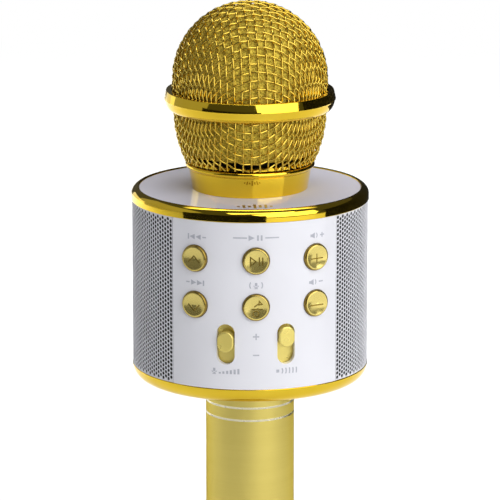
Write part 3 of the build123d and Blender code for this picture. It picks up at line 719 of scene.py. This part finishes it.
class CurvedSheet:
    """A sheet bent about the microphone's axis, drawn in flat x and z millimetres."""

    def __init__(self, radius, azimuth):
        self.radius = radius
        self.azimuth = azimuth
        self.work = bmesh.new()
        self.known = {}

    def corner(self, x, z, layer):
        """The one vertex at x and z, layer sheet thicknesses behind the outside."""
        key = (round(x, 4), round(z, 4), layer)
        if key not in self.known:
            angle = math.radians(self.azimuth) + x / self.radius
            r = (self.radius - layer * SHEET) * MM
            self.known[key] = self.work.verts.new((r * math.sin(angle), -r * math.cos(angle), z * MM))
        return self.known[key]

    def plate(self, points):
        """A face outside and its twin inside."""
        for layer in (0, 1):
            loop = [self.corner(x, z, layer) for x, z in points]
            self.work.faces.new(ordered(loop, layer == 0))

    def wall(self, points):
        """Faces through the sheet, along a line of points."""
        for (x0, z0), (x1, z1) in zip(points, points[1:]):
            self.work.faces.new((
                self.corner(x0, z0, 0),
                self.corner(x0, z0, 1),
                self.corner(x1, z1, 1),
                self.corner(x1, z1, 0),
            ))

    def hole_cell(self, left, right, base):
        """One cell of the pattern: a round hole in a rectangle one row high."""
        middle, centre = (left + right) / 2, base + ROW_PITCH / 2
        rim = [(right, base + (2 + i) * EDGE_STEP) for i in range(3)]
        rim += [(middle, base + ROW_PITCH)]
        rim += [(left, base + ROW_PITCH - i * EDGE_STEP) for i in range(5)]
        rim += [(middle, base)]
        rim += [(right, base + i * EDGE_STEP) for i in range(2)]
        angles = [2 * math.pi * i / HOLE_SIDES for i in range(HOLE_SIDES)]
        hole = [(middle + HOLE_RADIUS * math.cos(a), centre + HOLE_RADIUS * math.sin(a)) for a in angles]
        for i in range(HOLE_SIDES):
            j = (i + 1) % HOLE_SIDES
            self.plate([rim[i], rim[j], hole[j], hole[i]])
        self.wall([hole[0]] + hole[:0:-1] + [hole[0]])

    def side_strip(self, outer, border, rightmost, base):
        """The plain strip between one cell and the sheet's left or right edge."""
        for i in range(EDGE_STEPS):
            z0, z1 = base + i * EDGE_STEP, base + (i + 1) * EDGE_STEP
            self.plate(ordered([(outer, z0), (border, z0), (border, z1), (outer, z1)], rightmost))
            self.wall(ordered([(border, z1), (border, z0)], rightmost))

    def column_end(self, left, right, start, limit, up, steps, borders):
        """The plain end of a column, from its last cell at start to the sheet's edge at limit."""
        levels = [start + (1 if up else -1) * i * EDGE_STEP for i in range(steps + 1)]
        rights, lefts = [(right, z) for z in levels], [(left, z) for z in levels]
        loop = [((left + right) / 2, start)] + rights + [(right, limit), (left, limit)] + lefts[::-1]
        self.plate(ordered(loop, up))
        self.wall(ordered([(left, limit), (right, limit)], up))
        for outer, border, rightmost in borders:
            forward = rightmost != up
            ladder = [(outer, z) for z in levels] + [(outer, limit)]
            self.plate(ordered(ladder + [(border, limit), (border, start)], forward))
            self.wall(ordered([(border, start), (border, limit)], forward))
            self.wall(ordered([(border, limit), (outer, limit)], forward))

    def cloth(self, half_arc, bottom, top):
        """The dark cloth behind the sheet, as a closed slab in the second material."""
        sheet_faces = len(self.work.faces)
        section = ((bottom, CLOTH_FRONT), (top, CLOTH_FRONT), (top, CLOTH_BACK), (bottom, CLOTH_BACK))
        rails = []
        for k in range(CLOTH_STEPS + 1):
            x = -half_arc + 2 * half_arc * k / CLOTH_STEPS
            rails.append([self.corner(x, z, layer) for z, layer in section])
        for a, b in zip(rails, rails[1:]):
            for i in range(4):
                j = (i + 1) % 4
                self.work.faces.new((a[i], b[i], b[j], a[j]))
        self.work.faces.new(rails[0])
        self.work.faces.new(rails[-1][::-1])
        self.work.faces.ensure_lookup_table()
        for face in self.work.faces[sheet_faces:]:
            face.material_index = 1


def perforated(name, node_name, azimuth):
    """A curved sheet of staggered round holes over cloth, cut to the CAD sheet's outline."""
    low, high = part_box(node_name)
    radius = SHELL_RADIUS - SHEET_INSET
    bottom, top = low.z / MM, high.z / MM
    half_arc = math.asin(min(1, (high.y / MM) / radius)) * radius
    columns = int(2 * half_arc / COLUMN_PITCH)
    rows = int((top - bottom - ROW_MARGIN) / ROW_PITCH)
    start_x = -columns * COLUMN_PITCH / 2
    start_z = (bottom + top - rows * ROW_PITCH) / 2
    sheet = CurvedSheet(radius, azimuth)
    for c in range(columns):
        left = start_x + c * COLUMN_PITCH
        right = left + COLUMN_PITCH
        borders = []
        if c == 0:
            borders.append((left, -half_arc, False))
        if c == columns - 1:
            borders.append((right, half_arc, True))
        staggered = c % 2 == 1
        count = rows - 1 if staggered else rows
        first = start_z + (ROW_PITCH / 2 if staggered else 0.0)
        last = first + count * ROW_PITCH
        for k in range(count):
            base = first + k * ROW_PITCH
            sheet.hole_cell(left, right, base)
            for outer, border, rightmost in borders:
                sheet.side_strip(outer, border, rightmost, base)
        steps = 2 if staggered else 0
        sheet.column_end(left, right, first, bottom, False, steps, borders)
        sheet.column_end(left, right, last, top, True, steps, borders)
    sheet.cloth(half_arc, bottom, top)
    bmesh.ops.recalc_face_normals(sheet.work, faces=sheet.work.faces)
    mesh = bpy.data.meshes.new(name)
    sheet.work.to_mesh(mesh)
    sheet.work.free()
    mesh.shade_smooth()
    mesh.set_sharp_from_angle(angle=math.radians(40))
    mesh.materials.append(finishes["grille_paint"])
    mesh.materials.append(speaker_cloth)
    piece = bpy.data.objects.new(name, mesh)
    bpy.context.scene.collection.objects.link(piece)
    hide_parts(node_name)
    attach(piece, "drum")


perforated("left_grille_perforated", "left_grille", -90)
perforated("right_grille_perforated", "right_grille", 90)


# ---- Printed signs on the panel and the plate, in millimetres ----
INK_HALF = 0.03
STROKE = 0.42


def ink(name, first, second):
    """Printed ink: an even, slightly satin colour."""
    shader = Shader(name)
    shader.tint(shader.noise(900, 2), first, second)
    shader.rough(shader.noise(400, 2), 0.3, 0.4)
    return shader.material


grey_ink = ink("printed_grey", (0.42, 0.43, 0.49), (0.48, 0.49, 0.55))
brown_ink = ink("printed_brown", (0.26, 0.15, 0.03), (0.36, 0.22, 0.05))


class Print:
    """Flat ink shapes, each a thin closed prism, wrapped on the drum or laid on the top plate."""

    def __init__(self, place):
        self.place = place
        self.vertices = []
        self.faces = []

    def shape(self, points):
        """A convex outline."""
        first, count = len(self.vertices), len(points)
        for layer in (-1, 1):
            self.vertices += [self.place(x, y, layer * INK_HALF) for x, y in points]
        self.faces.append(tuple(first + i for i in reversed(range(count))))
        self.faces.append(tuple(first + count + i for i in range(count)))
        for i in range(count):
            j = (i + 1) % count
            self.faces.append((first + i, first + j, first + count + j, first + count + i))

    def bar(self, x, y, width, height):
        """A rectangle about x and y, in parts short enough to follow the drum."""
        parts = math.ceil(width / 1.2)
        h = height / 2
        for i in range(parts):
            left, right = (x - width / 2 + width * k / parts for k in (i, i + 1))
            self.shape([(left, y - h), (right, y - h), (right, y + h), (left, y + h)])

    def triangle(self, x, y, width, height, way=1):
        """A triangle that points to the right, or to the left when way is -1."""
        tip, base = x + way * width / 2, x - way * width / 2
        points = [(base, y - height / 2), (tip, y), (base, y + height / 2)]
        self.shape(points if way > 0 else points[::-1])

    def arc(self, x, y, radius, first, last, width, steps=8):
        """A curved stroke about x and y, between two angles in degrees."""
        angles = [math.radians(first + (last - first) * i / steps) for i in range(steps + 1)]
        for a, b in zip(angles, angles[1:]):
            near, far = radius - width / 2, radius + width / 2
            self.shape([
                (x + near * math.cos(a), y + near * math.sin(a)),
                (x + far * math.cos(a), y + far * math.sin(a)),
                (x + far * math.cos(b), y + far * math.sin(b)),
                (x + near * math.cos(b), y + near * math.sin(b)),
            ])

    def speaker(self, x, y):
        """A loudspeaker with one sound wave."""
        self.bar(x - 1.2, y, 0.55, 0.9)
        self.shape([(x - 0.88, y - 0.45), (x + 0.2, y - 1.0), (x + 0.2, y + 1.0), (x - 0.88, y + 0.45)])
        self.arc(x, y, 1.1, -45, 45, 0.36)

    def microphone(self, x, y):
        """A microphone on a stand."""
        self.bar(x, y + 0.4, 0.8, 1.1)
        self.arc(x, y + 0.25, 0.85, 195, 345, 0.25)
        self.bar(x, y - 0.8, 0.35, 0.3)
        self.bar(x, y - 1.0, 1.2, 0.25)

    def finish(self, name, slot="grey_plastic", material=grey_ink):
        """Makes the piece, on the drum."""
        make_piece(name, self.vertices, self.faces, slot, "drum", material=material)


def panel_place(azimuth, height):
    """Places flat points on the drum, about an azimuth in degrees and a height."""
    def place(x, y, lift):
        angle = math.radians(azimuth) + x / SHELL_RADIUS
        radius = SHELL_RADIUS + lift
        return radius * math.sin(angle), -radius * math.cos(angle), height + y
    return place


sign = Print(panel_place(-29.1, PLATE - 9.25))
sign.bar(-3.0, 0, 0.5, 1.8)
sign.triangle(-1.6, 0, 1.9, 1.8, -1)
sign.triangle(0.6, 0, 1.9, 1.8, -1)
sign.bar(2.8, 0, 1.3, STROKE)
sign.finish("print_previous")

sign = Print(panel_place(-29.8, PLATE - 24.7))
sign.bar(-2.8, 0, 1.3, STROKE)
sign.triangle(-0.6, 0, 1.9, 1.8)
sign.triangle(1.6, 0, 1.9, 1.8)
sign.bar(3.0, 0, 0.5, 1.8)
sign.finish("print_next")

sign = Print(panel_place(0, PLATE - 8.75))
sign.bar(-5.3, 0, 4.6, STROKE)
sign.triangle(-1.5, 0, 2.0, 1.9)
sign.bar(0.6, 0, 0.6, 1.8)
sign.bar(1.8, 0, 0.6, 1.8)
sign.bar(5.3, 0, 4.6, STROKE)
sign.finish("print_play_pause")

sign = Print(panel_place(0, PLATE - 24.8))
sign.microphone(0, 0)
sign.arc(-0.3, 0.1, 1.8, 145, 215, 0.36)
sign.arc(0.3, 0.1, 1.8, -35, 35, 0.36)
sign.finish("print_voice")

for name, azimuth, height, louder in (
    ("print_louder", 30.6, PLATE - 9.25, True),
    ("print_softer", 30.0, PLATE - 24.95, False),
):
    sign = Print(panel_place(azimuth, height))
    sign.speaker(-1.0, 0)
    if louder:
        sign.bar(2.1, 0.5, STROKE, 0.6)
        sign.bar(2.1, -0.5, STROKE, 0.6)
    sign.bar(2.1, 0, 1.6, STROKE)
    sign.finish(name)

sign = Print(panel_place(-14.4, PLATE - 54.0))
sign.microphone(-4.0, 0)
for i in range(6):
    tall = 0.55 + 0.26 * i
    sign.bar(-2.1 + i * 1.25, tall / 2 - 0.9, 0.7, tall)
sign.finish("print_voice_level")

sign = Print(panel_place(15.0, PLATE - 54.0))
sign.bar(-3.2, 0, 1.0, 1.0)
for radius, reach in ((1.4, 38), (2.6, 22), (3.8, 15), (5.0, 11), (6.2, 9)):
    sign.arc(-2.9, 0, radius, -reach, reach, STROKE)
sign.finish("print_echo")

sign = Print(panel_place(0, PLATE - 42.1))
sign.bar(0, 0.65, STROKE, 0.85)
sign.bar(0, -0.65, STROKE, 0.85)
sign.bar(0, 0, 2.1, STROKE)
sign.finish("print_more")

sign = Print(panel_place(0, PLATE - 48.4))
sign.bar(0, 0, 2.1, STROKE)
sign.finish("print_less")

MARK_Y = -31.5
BAR_PITCH = 1.8
BAR_HEIGHTS = (1.8, 4.2, 2.6, 6.0, 3.4, 5.0, 1.8)
sign = Print(lambda x, y, lift: (x, y + MARK_Y, PLATE + lift))
for i, tall in enumerate(BAR_HEIGHTS):
    sign.bar((i - len(BAR_HEIGHTS) // 2) * BAR_PITCH, 0, BAR_PITCH / 2, tall)
sign.finish("print_sound_bars", "gold_polished", brown_ink)


# ---- Camera, floor and light, in metres ----
AIM_HEIGHT = (PLATE - 22.0) * MM
CAMERA_DISTANCE = 1.337
CAMERA_AZIMUTH = math.radians(-2.9)
CAMERA_ELEVATION = math.radians(13.1)
CAMERA_LENS = 285.1
FLOOR_RADIUS = 10.6
FLOOR_LEVEL = -0.0002
SURROUND_RADIUS = 10.5
SURROUND_HEIGHT = 6.0
SURROUND_LEVEL = 0.0005
FADE_START, FADE_END = 0.5, 1.3
DRUM_HEIGHT = 0.16
camera = bpy.data.objects.new("camera", bpy.data.cameras.new("camera"))
bpy.context.scene.collection.objects.link(camera)
back = Vector((
    math.sin(CAMERA_AZIMUTH) * math.cos(CAMERA_ELEVATION),
    -math.cos(CAMERA_AZIMUTH) * math.cos(CAMERA_ELEVATION),
    math.sin(CAMERA_ELEVATION),
))
camera.location = Vector((0, 0, AIM_HEIGHT)) + back * CAMERA_DISTANCE
camera.rotation_euler = back.to_track_quat("Z", "Y").to_euler()
camera.data.lens = CAMERA_LENS
camera.data.sensor_width = 36.0
camera.data.clip_start = 0.05
camera.data.clip_end = 50
bpy.context.scene.camera = camera


def stage_piece(name, work, material):
    """An object of the studio from a bmesh, which isn't part of the microphone."""
    mesh = bpy.data.meshes.new(name)
    work.to_mesh(mesh)
    work.free()
    mesh.materials.append(material)
    piece = bpy.data.objects.new(name, mesh)
    bpy.context.scene.collection.objects.link(piece)
    return piece


def curved_wall(name, first, last, steps, profile, material):
    """A studio wall from a line of (radius, height) points, turned between two azimuths in degrees."""
    work = bmesh.new()
    rails = []
    for k in range(steps + 1):
        turn = math.radians(first + (last - first) * k / steps)
        rails.append([work.verts.new((r * math.sin(turn), -r * math.cos(turn), z)) for r, z in profile])
    for near, far in zip(rails, rails[1:]):
        for i in range(len(profile) - 1):
            work.faces.new((near[i], far[i], far[i + 1], near[i + 1]))
    return stage_piece(name, work, material)


def floor():
    """A wide pale studio floor."""
    shader = Shader("studio_floor").set(Roughness=0.9)
    shader.tint(shader.noise(2, 2), (0.90, 0.90, 0.90), (0.92, 0.92, 0.92))
    work = bmesh.new()
    bmesh.ops.create_circle(work, cap_ends=True, segments=96, radius=FLOOR_RADIUS)
    stage_piece("floor", work, shader.material).location.z = FLOOR_LEVEL


def backdrop():
    """A white surround seen only straight by the camera: it fades in over the far floor and rises behind."""
    shader = Shader("studio_backdrop").set(Base_Color=(0, 0, 0, 1), Roughness=1.0)
    shader.set(Specular_IOR_Level=0.0, Emission_Color=(1, 1, 1, 1), Emission_Strength=1.0)
    reach = shader.add("ShaderNodeVectorMath", operation="LENGTH")
    shader.join(shader.place(), reach.inputs[0])
    fade = shader.add("ShaderNodeMapRange", interpolation_type="SMOOTHSTEP")
    fade.inputs["From Min"].default_value = FADE_START
    fade.inputs["From Max"].default_value = FADE_END
    shader.join(reach.outputs["Value"], fade.inputs["Value"])
    shader.join(fade.outputs["Result"], shader.principled.inputs["Alpha"])
    flat = [(r, SURROUND_LEVEL) for r in (FADE_START, FADE_END, SURROUND_RADIUS)]
    profile = flat + [(SURROUND_RADIUS, SURROUND_HEIGHT)]
    dome = curved_wall("backdrop", 0, 360, 96, profile, shader.material)
    for ray in ("diffuse", "glossy", "transmission", "shadow", "volume_scatter"):
        setattr(dome, "visible_" + ray, False)


def toward(azimuth, elevation, distance):
    """A point seen from the drum at an azimuth from the front and an elevation, in degrees."""
    turn, lift = math.radians(azimuth), math.radians(elevation)
    flat = distance * math.cos(lift)
    return flat * math.sin(turn), -flat * math.cos(turn), DRUM_HEIGHT + distance * math.sin(lift)


def softbox(name, place, aim, width, height, radiance, spread=180, mirrored=True):
    """An area light of even radiance, turned to face aim; polished metal shows it when it's mirrored."""
    data = bpy.data.lights.new(name, "AREA")
    data.shape = "RECTANGLE"
    data.size, data.size_y = width, height
    data.energy = radiance * math.pi * width * height
    data.spread = math.radians(spread)
    lamp = bpy.data.objects.new(name, data)
    lamp.location = place
    lamp.rotation_euler = (Vector(place) - Vector(aim)).to_track_quat("Z", "Y").to_euler()
    lamp.visible_glossy = mirrored
    lamp.visible_camera = False
    bpy.context.scene.collection.objects.link(lamp)


def black_card(name, first, last, profile):
    """A curved dark card, from (radius, height) points, that only shows as a reflection in the metal."""
    shader = Shader("card_black").set(Roughness=0.9, Base_Color=(0.005, 0.005, 0.005, 1))
    card = curved_wall(name, first, last, 24, profile, shader.material)
    card.visible_camera = False
    card.visible_diffuse = False
    card.visible_shadow = False


floor()
backdrop()
drum = (0, 0, DRUM_HEIGHT)
softbox("key_right", toward(36, 24, 1.2), drum, 1.3, 1.15, 2.65)
softbox("side_left", toward(-100, 18, 1.0), drum, 1.5, 1.2, 0.32)
softbox("back_left", toward(-140, 2.5, 1.0), drum, 0.6, 0.38, 0.9)
softbox("fill_top", toward(120, 62, 1.2), drum, 0.8, 0.8, 1.1, mirrored=False)
softbox("front_top", toward(12, 58, 1.2), drum, 1.1, 0.25, 3.2)
softbox("floor_back", (0, 1.0, 1.3), (0, 1.0, 0), 2.4, 1.6, 1.2, spread=70)
black_card("card_front", -68, 12, ((0.5, 0.055), (0.5, 0.3)))
black_card("card_right", 72, 178, ((0.55, 0.001), (0.55, 0.5)))

world = bpy.data.worlds.new("studio")
world.use_nodes = True
glow = world.node_tree.nodes["Background"].inputs
glow["Color"].default_value = (0.9, 0.93, 1.0, 1)
glow["Strength"].default_value = 0.08
bpy.context.scene.world = world
bpy.context.scene.view_settings.view_transform = "Standard"
